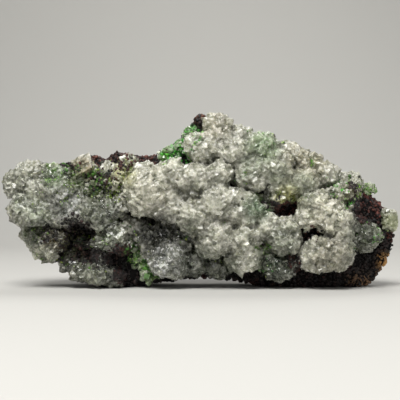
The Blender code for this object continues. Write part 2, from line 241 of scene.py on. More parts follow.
# Conichalcite on and between the crystals: x, z, reach, how thickly it grows, its green.
GREENS = (
    (-36.0, 27.2, 3.4, 1.60, "#566e1c"),
    (-24.6, 28.2, 3.4, 1.50, "#667a1e"),
    (-22.6, 33.6, 4.4, 0.90, "#7c8c28"),
    (-30.2, 31.0, 3.2, 1.20, "#667c20"),
    (-43.5, 27.0, 2.0, 0.35, "#6a8a3c"),
    # The cavity's olive, darkened by painted shade.
    (-34.6, 8.0, 3.6, 0.70, "#2c3a14"),
    (-45.0, 12.0, 4.0, 0.40, "#4f5e24"),
    (44.0, 24.4, 2.4, 0.50, "#3d7a28"),
    (43.6, 28.4, 3.2, 0.55, "#7a9434"),
    (24.0, 25.4, 3.4, 0.70, "#8a8e34"),
    (-40.6, 32.0, 4.0, 1.40, "#689c30"),
    (-35.5, 30.8, 3.8, 1.60, "#557c1c"),
    (-32.0, 28.2, 3.6, 1.80, "#425e14"),
    (-28.5, 26.4, 2.8, 1.10, "#485e14"),
    (-27.5, 34.5, 2.2, 0.30, "#8fa545"),
    (-22.4, 26.0, 2.6, 0.90, "#87a034"),
    (-6.5, 38.0, 5.0, 0.95, "#38a414"),
    (-2.4, 42.8, 3.4, 1.10, "#34981a"),
    (0.9, 46.0, 2.0, 0.80, "#6fa53a"),
    (16.5, 44.2, 3.0, 0.70, "#78b048"),
    (18.6, 40.6, 3.4, 0.60, "#4a9038"),
    (11.6, 30.8, 1.8, 0.80, "#459a30"),
    (16.0, 23.0, 3.6, 0.30, "#2b4a26"),
    (19.6, 21.6, 1.8, 0.25, "#3d7a2c"),
    (17.6, 10.2, 2.8, 0.80, "#5c8a26"),
    (18.6, 7.2, 2.6, 1.00, "#356a1c"),
    (-18.8, 12.2, 1.9, 0.55, "#3c8a22"),
    (-16.6, 8.2, 2.6, 0.65, "#6f9f45"),
    (-14.6, 4.6, 2.6, 0.55, "#55942a"),
    (-31.0, 13.4, 2.4, 0.80, "#749a2c"),
    (-26.4, 12.6, 2.4, 0.80, "#6ca82c"),
    (39.6, 28.6, 3.2, 0.90, "#4aa52a"),
    (41.0, 24.4, 2.0, 0.80, "#3a9a22"),
    (47.2, 28.4, 2.8, 1.00, "#74ae30"),
    (46.6, 17.4, 1.6, 0.35, "#5f9a3a"),
    (49.6, 15.2, 2.2, 1.00, "#5ca82a"),
    (-47.8, 17.4, 1.8, 0.30, "#74953a"),
    (-46.8, 25.4, 1.9, 0.20, "#6f9040"),
    (39.3, 4.0, 1.8, 0.30, "#4f8a2e"),
    (32.0, 35.4, 1.8, 0.80, "#6fae34"),
)
CREASE_GREENS = ("#2f661c", "#5a8a2c", "#86963c")
CREASE_SHARE = 0.28
PALE_GREEN = "#b4c78a"

# Brown grains of the rock between the crystals: x, z, reach, how thickly they lie.
ROCK_SPOTS = (
    (-25.0, 30.8, 4.0, 0.8),
    (-21.6, 35.6, 2.6, 1.2),
    (-31.6, 30.6, 2.6, 0.8),
    (-36.0, 32.4, 3.0, 0.8),
    (-34.2, 15.6, 4.4, 3.0),
    (-36.4, 10.4, 3.4, 2.4),
    (-31.8, 10.0, 3.0, 2.0),
    (-42.0, 15.0, 3.0, 0.6),
    (-28.0, 8.6, 3.0, 0.9),
    (-22.0, 9.6, 3.4, 3.0),
    (-21.0, 4.0, 3.0, 2.6),
    (22.6, 23.4, 2.6, 1.2),
    (43.5, 27.5, 3.5, 0.5),
    (46.2, 21.4, 3.2, 2.6),
    (31.0, 16.0, 2.6, 1.0),
    (26.4, 6.4, 2.6, 1.4),
)

# The rock: its browns from dark to light, then its stains: x, z, reach, colour, share of the
# grains that take it. Behind, the stains are patches: colour, wavelength and seed of the field
# that draws them.
ROCK_BASE = ("#050303", "#0e0706", "#20100c", "#3a1e18")
ROCK_STAINS = (
    (49.0, 23.5, 4.6, "#58291f", 0.45),
    (24.5, 22.0, 4.0, "#4f221b", 0.40),
    (27.5, 7.5, 3.0, "#4e241b", 0.50),
    (-23.0, 11.0, 3.0, "#40201a", 0.40),
    (-17.0, 37.0, 9.0, "#563026", 0.50),
    (-30.0, 37.0, 4.5, "#5f362b", 0.50),
    (-43.0, 35.0, 2.5, "#6a342a", 0.50),
    (0.0, 48.5, 2.6, "#54311f", 0.50),
    (52.6, 7.2, 2.6, "#b98a4f", 0.85),
    (51.6, 4.6, 1.6, "#8a6238", 0.60),
    (46.0, 2.6, 2.8, "#7d5f42", 0.60),
    (43.0, 1.6, 2.2, "#6b5138", 0.45),
    (31.5, 15.5, 3.0, "#4f3526", 0.50),
    (-36.5, 13.5, 4.0, "#3a3a1c", 0.45),
    (-36.0, 9.0, 3.0, "#2f331c", 0.40),
    (55.0, 15.0, 2.0, "#63291f", 0.50),
    (46.0, 8.0, 5.5, "#17100e", 0.70),
    (-4.6, 36.4, 4.0, "#2f8f18", 0.80),
    (-2.4, 43.0, 2.6, "#3a9a20", 0.50),
    (-31.0, 30.0, 4.5, "#4a7a20", 0.40),
    (-40.5, 33.5, 3.0, "#4f8a28", 0.35),
    (-23.5, 27.0, 3.0, "#5a7020", 0.50),
    (-17.0, 10.0, 4.0, "#4a8a26", 0.35),
)
ROCK_TINTS_BACK = (("#6d4a2c", 9.0, 3), ("#8a6134", 14.0, 5), ("#4a251c", 6.0, 7))


# Arrays and meshes

def node_mesh(name):
    """A CAD node's merged corners in millimetres, and its triangles as rows of corner numbers."""
    mesh = NODES[name].data
    mesh.calc_loop_triangles()
    points = np.empty(len(mesh.vertices) * 3)
    mesh.vertices.foreach_get("co", points)
    triangles = np.empty(len(mesh.loop_triangles) * 3, dtype=np.int32)
    mesh.loop_triangles.foreach_get("vertices", triangles)
    points = points.reshape(-1, 3) / MM
    _, first, inverse = np.unique(points.round(3), axis=0, return_index=True, return_inverse=True)
    return points[first], inverse.reshape(-1)[triangles].reshape(-1, 3)


def unit(vectors):
    """Each vector divided by its length."""
    return vectors / np.maximum(np.linalg.norm(vectors, axis=-1, keepdims=True), 1e-12)


def corner_normals(points, triangles):
    """Each corner's normal: the sum of its triangles' area vectors, made one long."""
    a, b, c = (points[triangles[:, k]] for k in range(3))
    areas = np.cross(b - a, c - a)
    normals = np.zeros_like(points)
    for k in range(3):
        np.add.at(normals, triangles[:, k], areas)
    return unit(normals)


def scattered(points, triangles, per_mm2, rng):
    """Random places on a mesh, evenly by area: a triangle's first corner plus the shares u and v
    of two sides, folded back where u + v passes 1. Gives the smooth normal there too.
    """
    a, b, c = (points[triangles[:, k]] for k in range(3))
    areas = np.linalg.norm(np.cross(b - a, c - a), axis=1) / 2
    count = int(areas.sum() * per_mm2)
    which = rng.choice(len(triangles), size=count, p=areas / areas.sum())
    u, v = rng.random((2, count, 1))
    flip = u + v > 1
    u, v = np.where(flip, 1 - u, u), np.where(flip, 1 - v, v)
    normals = corner_normals(points, triangles)
    na, nb, nc = (normals[triangles[which, k]] for k in range(3))
    place = a[which] + u * (b - a)[which] + v * (c - a)[which]
    return place, unit(na + u * (nb - na) + v * (nc - na))


def spaced(places, spacing, rng):
    """Which places to keep: one, drawn at random, in each cube of a grid of this spacing."""
    order = rng.permutation(len(places))
    cubes = np.floor(places[order] / spacing).astype(np.int64)
    _, first = np.unique(cubes, axis=0, return_index=True)
    return np.sort(order[first])


def frames_along(normals, lean, rng):
    """A turned frame for each normal: its third axis leans from the normal by a random amount."""
    axis = unit(normals + rng.normal(size=normals.shape) * lean)
    side = unit(np.cross(axis, rng.normal(size=normals.shape)))
    return np.stack([side, np.cross(axis, side), axis], axis=-1)


def sizes_round(usual, spread_by, limits, count, rng):
    """Random sizes whose logarithms are spread round the usual one's, kept between the limits."""
    return rng.lognormal(math.log(usual), spread_by, count).clip(*limits)


def copies(shape, places, frames, sizes):
    """One mesh of many copies of a small shape, given as (points, faces): each is stretched by
    its sizes, turned by its frame and moved to its place.
    """
    shape_points, shape_faces = shape
    stretched = shape_points[None] * sizes[:, None]
    points = np.einsum("nij,nvj->nvi", frames, stretched) + places[:, None]
    starts = np.arange(len(places))[:, None, None] * len(shape_points)
    return points.reshape(-1, 3), (shape_faces[None] + starts).reshape(-1, shape_faces.shape[1])


def rhombohedron():
    """A calcite rhomb: two tips on the c axis, and six corners that stand a third of the way to
    each tip, every 60 degrees in turn.
    """
    turn = np.radians(np.arange(6) * 60)
    height = np.where(np.arange(6) % 2 == 0, 1 / 3, -1 / 3)
    ring = np.stack([np.cos(turn), np.sin(turn), height], axis=1)
    points = np.concatenate([[[0, 0, 1]], ring, [[0, 0, -1]]])
    faces = [(0, 1, 2, 3), (0, 3, 4, 5), (0, 5, 6, 1), (7, 4, 3, 2), (7, 6, 5, 4), (7, 2, 1, 6)]
    return points, np.array(faces)


def in_triangles(shape):
    """The same shape with each of its four-sided faces cut into two triangles."""
    points, faces = shape
    return points, faces[:, [0, 1, 2, 0, 2, 3]].reshape(-1, 3)


def ball(meridians, bands):
    """A round grain as a grid of longitude and latitude, with its poles closed by triangles."""
    across = np.pi * (np.arange(bands - 1) + 1) / bands
    around = 2 * np.pi * np.arange(meridians) / meridians
    lat, lon = np.meshgrid(across, around, indexing="ij")
    rings = np.stack([np.sin(lat) * np.cos(lon), np.sin(lat) * np.sin(lon), np.cos(lat)], axis=-1)
    points = np.concatenate([[[0, 0, 1]], rings.reshape(-1, 3), [[0, 0, -1]]])
    k = np.arange(meridians)
    after = (k + 1) % meridians
    last = len(points) - 1
    faces = [np.stack([0 * k, 1 + k, 1 + after], axis=1)]
    for band in range(bands - 2):
        low = 1 + (band + 1) * meridians
        high = 1 + band * meridians
        faces.append(np.stack([high + k, low + k, low + after], axis=1))
        faces.append(np.stack([high + k, low + after, high + after], axis=1))
    foot = 1 + (bands - 2) * meridians
    faces.append(np.stack([0 * k + last, foot + after, foot + k], axis=1))
    return points, np.concatenate(faces)


def mesh_of(name, points, faces):
    """A mesh of points in millimetres and faces that all have the same number of corners."""
    mesh = bpy.data.meshes.new(name)
    mesh.vertices.add(len(points))
    mesh.vertices.foreach_set("co", (points * MM).astype(np.float32).ravel())
    mesh.loops.add(faces.size)
    mesh.loops.foreach_set("vertex_index", faces.astype(np.int32).ravel())
    mesh.polygons.add(len(faces))
    starts = np.arange(len(faces), dtype=np.int32) * faces.shape[1]
    mesh.polygons.foreach_set("loop_start", starts)
    mesh.update()
    return mesh


def fused(shells, pitch):
    """One closed skin round overlapping shells, each (points, triangles): the zero level of their
    union's distance field, sampled on a cubic grid of this pitch. Gives its points and its
    four-sided faces.
    """
    starts = np.cumsum([0] + [len(points) for points, _ in shells])
    mesh = mesh_of("shells", np.concatenate([points for points, _ in shells]),
                   np.concatenate([faces + start for (_, faces), start in zip(shells, starts)]))
    obj = bpy.data.objects.new("shells", mesh)
    bpy.context.scene.collection.objects.link(obj)
    union = obj.modifiers.new("union", "REMESH")
    union.mode = "VOXEL"
    union.voxel_size = pitch * MM
    graph = bpy.context.evaluated_depsgraph_get()
    skin = bpy.data.meshes.new_from_object(obj.evaluated_get(graph))
    points = np.empty(len(skin.vertices) * 3)
    skin.vertices.foreach_get("co", points)
    faces = np.empty(len(skin.loops), dtype=np.int32)
    skin.loops.foreach_get("vertex_index", faces)
    bpy.data.objects.remove(obj)
    bpy.data.meshes.remove(mesh)
    bpy.data.meshes.remove(skin)
    return points.reshape(-1, 3) / MM, faces.reshape(-1, 4)


def piece(name, points, faces, look, tints, smooth=False):
    """A finished mesh piece that rides on the specimen, with a tint at each point."""
    mesh = mesh_of(name, points, faces)
    mesh.polygons.foreach_set("use_smooth", np.full(len(faces), smooth))
    mesh.materials.append(look)
    layer = mesh.attributes.new("tint", "FLOAT_COLOR", "POINT")
    rgba = np.concatenate([tints, np.ones((len(tints), 1))], axis=1)
    layer.data.foreach_set("color", rgba.astype(np.float32).ravel())
    mesh.update()
    mesh.validate()
    obj = bpy.data.objects.new(name, mesh)
    bpy.context.scene.collection.objects.link(obj)
    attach(obj, "root")
    return obj


def swarm(name, shape, places, frames, sizes, tints, look, smooth=False):
    """A piece of many copies of a small shape, one tint each, held inside the specimen's box."""
    points, faces = copies(shape, places, frames, sizes)
    corners = len(shape[0])
    tints = np.repeat(tints, corners, axis=0)
    piece(name, held_in(points, corners), faces, look, tints, smooth)


# Colours and materials

def linear(hex_colour):
    """sRGB hex to linear red, green and blue."""
    value = np.array([int(hex_colour[k:k + 2], 16) for k in (1, 3, 5)]) / 255
    return np.where(value <= 0.04045, value / 12.92, ((value + 0.055) / 1.055) ** 2.4)


def grey(value):
    """The same value in red, green and blue."""
    return (value, value, value)


def node(tree, kind, settings=None, **links):
    """Adds one node. settings are its attributes or, by socket name, its values; links go by
    socket name to the socket that feeds it.
    """
    made = tree.nodes.new(kind)
    for key, value in (settings or {}).items():
        if key in made.inputs:
            made.inputs[key].default_value = value
        else:
            setattr(made, key, value)
    for key, source in links.items():
        tree.links.new(source, made.inputs[key.replace("_", " ")])
    return made


def ramp(tree, fac, stops):
    """A colour ramp over stops of (position, linear colour)."""
    made = node(tree, "ShaderNodeValToRGB", Fac=fac)
    band = made.color_ramp
    while len(band.elements) < len(stops):
        band.elements.new(0.5)
    for element, (position, colour) in zip(band.elements, stops):
        element.position = position
        element.color = (*colour, 1.0)
    return made.outputs["Color"]


def mixed(tree, first, second, factor=1.0, blend="MIX"):
    """Two colours mixed. factor and second are a value or a socket."""
    made = node(tree, "ShaderNodeMix", {"data_type": "RGBA", "blend_type": blend})
    tree.links.new(first, made.inputs["A"])
    for key, value in (("B", second), ("Factor", factor)):
        if isinstance(value, bpy.types.NodeSocket):
            tree.links.new(value, made.inputs[key])
        else:
            made.inputs[key].default_value = value
    return made.outputs["Result"]


def blank(name):
    """A new material with nothing but its output."""
    look = bpy.data.materials.new(name)
    look.use_nodes = True
    tree = look.node_tree
    tree.nodes.clear()
    return look, tree, tree.nodes.new("ShaderNodeOutputMaterial")


def object_place(tree):
    """Each point's own place on the piece, in metres."""
    return node(tree, "ShaderNodeTexCoord").outputs["Object"]


def own_tint(tree):
    """The tint that the piece carries at each point."""
    return node(tree, "ShaderNodeAttribute", {"attribute_name": "tint"}).outputs["Color"]


def calcite_look(name, transmission, glow, reach, rough, veil, density):
    """Calcite crystals: glassy faces with growth steps half a millimetre apart, milky veils
    inside with clear windows between them, darkened by painted shade for the dim inside seen
    through them, and under the surface a soft glow where light wanders through the clouded
    parts. transmission is the veils' and the windows', rough the clean faces' and the frosted
    ones', veil its colour and greatest share, reach how many millimetres light wanders, and
    density how strongly the inside absorbs, per metre.
    """
    look, tree, out = blank(name)
    place = object_place(tree)
    veils = node(tree, "ShaderNodeTexNoise", {"Scale": 1 / (VEIL_WIDTH * MM), "Detail": 3.0},
                 Vector=place)
    share = ramp(tree, veils.outputs["Fac"], [(0.42, grey(0.0)), (0.66, grey(veil[1]))])
    colour = mixed(tree, own_tint(tree), (*linear(veil[0]), 1.0), share)
    frost = node(tree, "ShaderNodeTexNoise", {"Scale": 1 / (FROST_WIDTH * MM), "Detail": 2.0},
                 Vector=place)
    roughness = ramp(tree, frost.outputs["Fac"], [(0.35, grey(rough[0])), (0.7, grey(rough[1]))])
    window = node(tree, "ShaderNodeTexNoise", {"Scale": 1 / (WINDOW_WIDTH * MM), "Detail": 3.0},
                  Vector=place)
    clarity = ramp(tree, window.outputs["Fac"],
                   [(0.38, grey(transmission[0])), (0.62, grey(transmission[1]))])
    # Painted shade: the clear windows darkened and tinted grey-green for the dim inside behind
    # them.
    window_painted_shade = ramp(tree, window.outputs["Fac"], [(0.38, grey(1.0)), (0.64, WINDOW_PAINTED_SHADE)])
    colour = mixed(tree, colour, window_painted_shade, blend="MULTIPLY")
    steps = node(tree, "ShaderNodeTexVoronoi", {"Scale": 1 / (STEP_WIDTH * MM), "feature": "F1"},
                 Vector=place)
    relief = node(tree, "ShaderNodeBump", {"Strength": 0.3, "Distance": STEP_DEPTH * MM},
                  Height=steps.outputs["Distance"])
    shader = node(tree, "ShaderNodeBsdfPrincipled",
                  {"Metallic": 0.0, "IOR": CALCITE_IOR,
                   "Subsurface Weight": glow, "Subsurface Radius": GLOW_COLOURS,
                   "Subsurface Scale": reach * MM},
                  Base_Color=colour, Roughness=roughness, Transmission_Weight=clarity,
                  Normal=relief.outputs["Normal"])
    tree.links.new(shader.outputs["BSDF"], out.inputs["Surface"])
    if density:
        inside = node(tree, "ShaderNodeVolumeAbsorption",
                      {"Color": (*linear(INSIDE), 1.0), "Density": density})
        tree.links.new(inside.outputs["Volume"], out.inputs["Volume"])
    return look


def grain_look(name, colours, roughness, ior, specular, mottle, bump):
    """Small round grains: each grain's own tint, or a ramp of colours over a broad pattern,
    darkened and lightened by a mottle a third of a millimetre wide, over a rough skin.
    """
    look, tree, out = blank(name)
    place = object_place(tree)
    if colours is None:
        colour = own_tint(tree)
    else:
        broad = node(tree, "ShaderNodeTexNoise",
                     {"Scale": 1 / (BROAD_WIDTH * MM), "Detail": 6.0, "Roughness": 0.65},
                     Vector=place)
        stops = [(at, linear(hex_colour)) for at, hex_colour in colours]
        colour = ramp(tree, broad.outputs["Fac"], stops)
    spots = node(tree, "ShaderNodeTexNoise", {"Scale": 1 / (MOTTLE_WIDTH * MM), "Detail": 3.0},
                 Vector=place)
    shade = ramp(tree, spots.outputs["Fac"], [(0.35, grey(mottle[0])), (0.65, grey(mottle[1]))])
    colour = mixed(tree, colour, shade, blend="MULTIPLY")
    pits = node(tree, "ShaderNodeTexVoronoi", {"Scale": 1 / (PIT_WIDTH * MM), "feature": "F1"},
                Vector=place)
    relief = node(tree, "ShaderNodeBump",
                  {"Strength": bump, "Distance": PIT_DEPTH * MM, "invert": True},
                  Height=pits.outputs["Distance"])
    shader = node(tree, "ShaderNodeBsdfPrincipled",
                  {"Roughness": roughness, "IOR": ior, "Specular IOR Level": specular},
                  Base_Color=colour, Normal=relief.outputs["Normal"])
    tree.links.new(shader.outputs["BSDF"], out.inputs["Surface"])
    return look


# Where things sit

def tree_of(names):
    """A search tree over the surfaces of the named CAD nodes, in millimetres."""
    points, faces, start = [], [], 0
    for name in names:
        corners, triangles = node_mesh(name)
        points.append(corners)
        faces.append(triangles + start)
        start += len(corners)
    return BVHTree.FromPolygons(np.concatenate(points).tolist(), np.concatenate(faces).tolist())


def distances(tree, places):
    """How far each place is from the tree's surfaces."""
    return np.array([tree.find_nearest(Vector(place))[3] for place in places])


def drift(places, wavelength, seed):
    """A smooth random field from about -1 to 1: the mean of nine cosine waves in random
    directions, each about one wavelength long.
    """
    draws = np.random.default_rng(seed)
    directions = unit(draws.normal(size=(9, 3)))
    waves = directions * draws.uniform(0.7, 1.4, (9, 1)) * 2 * np.pi / wavelength
    phases = draws.uniform(0, 2 * np.pi, 9)
    return (np.cos(places @ waves.T + phases).mean(axis=1) * 2.2).clip(-1, 1)


def eased(value, low, high):
    """0 below low, 1 above high, and a smooth step between."""
    share = ((value - low) / (high - low)).clip(0, 1)
    return share * share * (3 - 2 * share)


def open_places(name, per_mm2, spacing, clearance, rng):
    """Places on a node's free surface, those that face no neighbour across the narrow gap between
    solids, with the normal and the distance to the nearest neighbour.
    """
    places, normals = scattered(*node_mesh(name), per_mm2, rng)
    keep = spaced(places, spacing, rng)
    places, normals = places[keep], normals[keep]
    others = tree_of([other for other in NODES if other != name])
    free = distances(others, places + normals * clearance * 0.5) > clearance * 0.75
    places, normals = places[free], normals[free]
    return places, normals, distances(others, places)


def box_room():
    """The corners of the box that the looks keep to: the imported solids' box and ROOM more, above
    the floor.
    """
    low = np.array(CAD_BOX[0]) / MM - ROOM
    low[2] = FLOOR_GAP
    return low, np.array(CAD_BOX[1]) / MM + ROOM


def held_in(points, per_copy):
    """The points of many copies, each moved back by how far it reaches past the looks' box."""
    each = points.reshape(-1, per_copy, 3)
    low, high = box_room()
    over = (each.max(axis=1) - high).clip(0, None) + (each.min(axis=1) - low).clip(None, 0)
    return (each - over[:, None]).reshape(-1, 3)


def spread(table, places):
    """How strongly each row of a table of (x, z, reach, ...) acts at each place: a flat-topped
    bell curve of the distance over its reach, seen from the front, that fades out behind the
    middle of the specimen.
    """
    for row in table:
        far = np.hypot(places[:, 0] - row[0], places[:, 2] - row[1]) / row[2]
        yield row, np.exp(-far**4) * eased(-places[:, 1], -4.0, 1.0)


def prominence(places, normals, all_seats, reach, batch=400):
    """How far each place stands above the mean of the seats round it, along its normal, in
    millimetres: more than 0 on a lobe, less in a crease.
    """
    found = []
    for start in range(0, len(places), batch):
        here = slice(start, start + batch)
        offsets = places[here, None] - all_seats[None]
        near = (offsets**2).sum(axis=2) < reach**2
        heights = np.einsum("ijk,ik->ij", offsets, normals[here])
        found.append((heights * near).sum(axis=1) / near.sum(axis=1))
    return np.concatenate(found)


def from_seats(values, seats, places, batch=20000):
    """Columns of values at seats carried to places: their mean, weighted by a bell curve of the
    distance to each seat.
    """
    found = []
    for start in range(0, len(places), batch):
        here = places[start:start + batch]
        squares = (here**2).sum(axis=1)[:, None] + (seats**2).sum(axis=1) - 2 * here @ seats.T
        weight = np.exp(-(squares - squares.min(axis=1, keepdims=True)) / SEAT_REACH**2)
        found.append(weight @ values / weight.sum(axis=1, keepdims=True))
    return np.concatenate(found)


# Colours of places and grains

def tints_and_painted_light_at(places):
    """The calcite's colour at each place, with the table's painted shade and painted highlight, and
    its share of clear crystals there.
    """
    colours = np.tile(linear(PALE), (len(places), 1))
    clear = np.full(len(places), CLEAR_SHARE)
    for row, pull in spread(TINTS_AND_PAINTED_LIGHT, places):
        colours = colours + (linear(row[3]) - colours) * pull[:, None]
        clear = clear + (row[4] - clear) * pull
    shade = 0.96 + 0.17 * drift(places, *BROAD_SHADES) + 0.14 * drift(places, *FINE_SHADES)
    return colours * shade[:, None], clear


def greens_at(places, crease, rng):
    """How thickly conichalcite grows at each place, and its green there. Away from the table's
    places it keeps to the creases. crease is 1 in the deepest.
    """
    kinds = np.array([linear(hex_colour) for hex_colour in CREASE_GREENS])
    greens = kinds[rng.integers(len(kinds), size=len(places))]
    share = CREASE_SHARE * eased(drift(places, *GREEN_CREASES), -0.3, 0.6) * crease
    for row, pull in spread(GREENS, places):
        greens = greens + (linear(row[4]) - greens) * pull[:, None]
        share = share + (row[3] * (0.6 + 0.7 * crease) - share).clip(0, None) * pull
    return share, greens


def settled_at(places):
    """1 in the patches, about a millimetre wide, where conichalcite settled, 0 between them."""
    return eased(drift(places, *SETTLED), -0.15, 0.5)


def rocky(places):
    """How thickly the rock's grains lie over each place."""
    return sum(pull * row[3] for row, pull in spread(ROCK_SPOTS, places))


def grain_tints(greens, rng):
    """Each conichalcite grain's own green: the place's, darker or lighter, and here and there
    paler.
    """
    tints = greens * rng.uniform(0.4, 1.15, (len(greens), 1))
    pale = rng.uniform(0.0, 1.0, (len(greens), 1)) ** 4 * 0.7
    return (tints + (linear(PALE_GREEN) - tints) * pale).clip(0, 0.9)


def rock_tints(places, rng):
    """Each rock grain's colour: one of the base browns, dark in broad patches, or the stain of
    its place.
    """
    browns = np.array([linear(hex_colour) for hex_colour in ROCK_BASE])
    patches = drift(places, *BROWN_PATCHES) + drift(places, *BROWN_SPOTS)
    level = (patches + rng.normal(size=len(places)) * 0.7) * 0.9 + 1.3
    kind = level.clip(0, len(browns) - 1)
    low = kind.astype(int).clip(0, len(browns) - 2)
    colours = browns[low] + (browns[low + 1] - browns[low]) * (kind - low)[:, None]
    behind = eased(places[:, 1], -1.0, 5.0)
    for hex_colour, wavelength, seed in ROCK_TINTS_BACK:
        stained = eased(drift(places, wavelength, seed), 0.1, 0.8)
        pull = behind * stained * rng.uniform(0.2, 1.0, len(places))
        colours = colours + (linear(hex_colour) - colours) * (pull * 0.7)[:, None]
    for row, pull in spread(ROCK_STAINS, places):
        pull = pull * (rng.random(len(places)) < row[4])
        stain = linear(row[3]) * rng.uniform(0.6, 1.25, (len(places), 1))
        colours = colours + (stain - colours) * pull[:, None]
    return colours


# The calcite

def knobs_of(seated, all_seats, rng):
    """The knobs of a calcite mass: rough balls, each sunk by KNOB_SINK of its radius, smaller
    near the mass's edge and in its creases, larger where it is clear. Gives their middles, their
    radii, how deep in a crease each sits, the size of the crystals on it, and its share of clear
    ones.
    """
    seats, normals, rise = seated
    lobe = eased(prominence(seats, normals, all_seats, LOBE_REACH), -0.7, 1.0)
    taper = (0.75 + 0.25 * eased(rise, 0.3, 2.6)) * (0.74 + 0.34 * lobe)
    crease = 1 - (0.6 + 0.4 * eased(rise, 0.2, 2.2)) * (0.2 + 0.8 * lobe)
    _, clear = tints_and_painted_light_at(seats)
    radii = sizes_round(KNOB_RADIUS, 0.42, KNOB_LIMITS, len(seats), rng) * taper
    radii = radii * (0.85 + 0.4 * clear)
    middles = seats - normals * (radii * KNOB_SINK)[:, None]
    return middles, radii, crease, (0.34 + 0.70 * clear) * (0.6 + 0.4 * taper), clear


def crystals_round(middles, radii, normals, crystal_size, rng):
    """Crystals over the caps of knobs. Each has its c axis near the line out of its knob's middle
    and sits partly under the knob's surface. Gives the knob, the place, the outward line and the
    sizes of each.
    """
    per_knob = PER_KNOB * (PLAIN_CRYSTAL / crystal_size) ** 2 * (radii / PLAIN_KNOB) ** 2
    owner = np.repeat(np.arange(len(middles)), per_knob.clip(12, 170).astype(int))
    outward = unit(rng.normal(size=(len(owner), 3)))
    shown = (outward * normals[owner]).sum(1) > KNOB_SINK - 0.1
    outward, owner = outward[shown], owner[shown]
    size = (rng.lognormal(0.0, 0.40, len(owner)) * crystal_size[owner]).clip(*CRYSTAL_LIMITS)
    height = radii[owner] * 0.9 + size * rng.uniform(-0.7, 0.1, len(owner))
    places = middles[owner] + outward * height[:, None]
    slimness = rng.uniform([0.75, 0.75, 0.85], [1.2, 1.2, 1.6], (len(owner), 3))
    return owner, places, outward, size[:, None] * slimness


def folds_and_pits(points, seats, normals, crease, clear):
    """How deep each point of the skin lies in a crease between lobes, and how deep in a pit
    between crystals: 1 on the plane of its nearest seat, 0 where it stands a crystal's height
    over it.
    """
    plane = np.column_stack([crease, normals, (seats * normals).sum(axis=1)])
    plane = from_seats(plane, seats, points)
    height = (points * plane[:, 1:4]).sum(axis=1) - plane[:, 4]
    return plane[:, 0], 1 - eased(height / (0.75 + 0.85 * clear), 0.0, 1.0)


def skin_tints(colours, fold, pit, share, greens, settled):
    """The calcite's colours, greened where conichalcite settled in the pits, and darkened by
    painted shade in folds and pits.
    """
    greened = (share * (0.25 + 1.5 * pit) * (0.4 + settled) * GREEN_GLOW).clip(0, 0.95)[:, None]
    colours = colours * (1 - greened) + greens * greened
    # Painted shade: darker in the folds between lobes and the pits between crystals.
    colours = colours * (1 - CREASE_PAINTED_SHADE * fold)[:, None] * (1 - PIT_PAINTED_SHADE * pit[:, None])
    return colours.clip(0, 0.92)


def sharp_tips(name, places, frames, sizes, crease, look):
    """Single crystals over the same ones in the skin, a little larger, so that they show clean
    faces and sharp edges. Painted shade darkens those whose knob sits in a crease.
    """
    rhomb = rhombohedron()
    corners = len(rhomb[0])
    points, faces = copies(rhomb, places, frames, sizes * TIP_GROWTH)
    points = held_in(points, corners)
    colours, _ = tints_and_painted_light_at(points)
    # Painted shade where the crystal's knob sits in a crease.
    colours = colours * np.repeat(1 - CREASE_PAINTED_SHADE * crease, corners)[:, None]
    piece(name, points, faces, look, (colours * TIP_SHADE).clip(0, 0.88))


def crystal_group(name, seated, all_seats, looks, rng):
    """The crystals of one calcite mass. Low knobs crowd the mass, and crystals cover each knob,
    larger where it is clear. Mass, knobs and crystals are grown together in one skin, greener in
    its creases and darkened by painted shade in its creases and pits. Some of the outer crystals
    stand sharp on it, and grains of conichalcite and of the rock lie in its pits.
    """
    seats, normals, _ = seated
    middles, radii, crease, crystal_size, clear = knobs_of(seated, all_seats, rng)
    rhomb = in_triangles(rhombohedron())
    wobble = 1 + 0.18 * rng.normal(size=(len(seats), 3)).clip(-2, 2)
    knobs = copies(rhomb, middles, frames_along(normals, 0.6, rng), radii[:, None] * 1.15 * wobble)
    owner, places, outward, sizes = crystals_round(middles, radii, normals, crystal_size, rng)
    frames = frames_along(outward, 0.45, rng)
    grown = copies(rhomb, places, frames, sizes)
    pitch = SKIN_PITCH[int(len(seats) > LARGE_MASS)]
    points, faces = fused([node_mesh(name), knobs, grown], pitch)
    points = points.clip(*box_room())

    colours, clear_here = tints_and_painted_light_at(points)
    fold, pit = folds_and_pits(points, seats, normals, crease, clear_here)
    share, greens = greens_at(points, fold, rng)
    settled = settled_at(points)
    look = looks["glassy" if clear.mean() > GLASSY_SHARE else "frosted"]
    skin = piece(name + "_mass", points, faces, look,
                 skin_tints(colours, fold, pit, share, greens, settled))
    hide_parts(name)

    sharp = rng.random(len(places)) < TIP_SHARE
    sharp &= (outward * normals[owner]).sum(axis=1) > 0.5
    sharp &= sizes.max(axis=1) < LONGEST_TIP
    sharp_tips(name + "_tips", places[sharp], frames[sharp], sizes[sharp], crease[owner[sharp]],
               looks["tips"])

    chosen = rng.random(len(points)) < GRAINS_IN_PITS * share * (0.1 + 1.4 * pit) * settled
    sprinkled(name + "_dust", points[chosen], DUST_RADIUS, grain_tints(greens[chosen], rng),
              looks["green"], rng)
    thick = rocky(points)
    chosen = rng.random(len(points)) < thick * GRAINS_IN_PITS * (thick * 0.1 + pit)
    sprinkled(name + "_ochre", points[chosen], OCHRE_RADIUS, rock_tints(points[chosen], rng),
              looks["rock"], rng)


# The grains of conichalcite and limonite

def sprinkled(name, places, radius, tints, look, rng):
    """Round grains at places, each its own tint: balls with radii spread round the given one."""
    if not len(places):
        return
    size = sizes_round(radius, 0.35, (0.5 * radius, 2.2 * radius), len(places), rng)
    swarm(name, ball(5, 3), places, frames_along(places, 9.0, rng),
          size[:, None] * rng.uniform(0.7, 1.3, (len(places), 3)), tints, look, smooth=True)


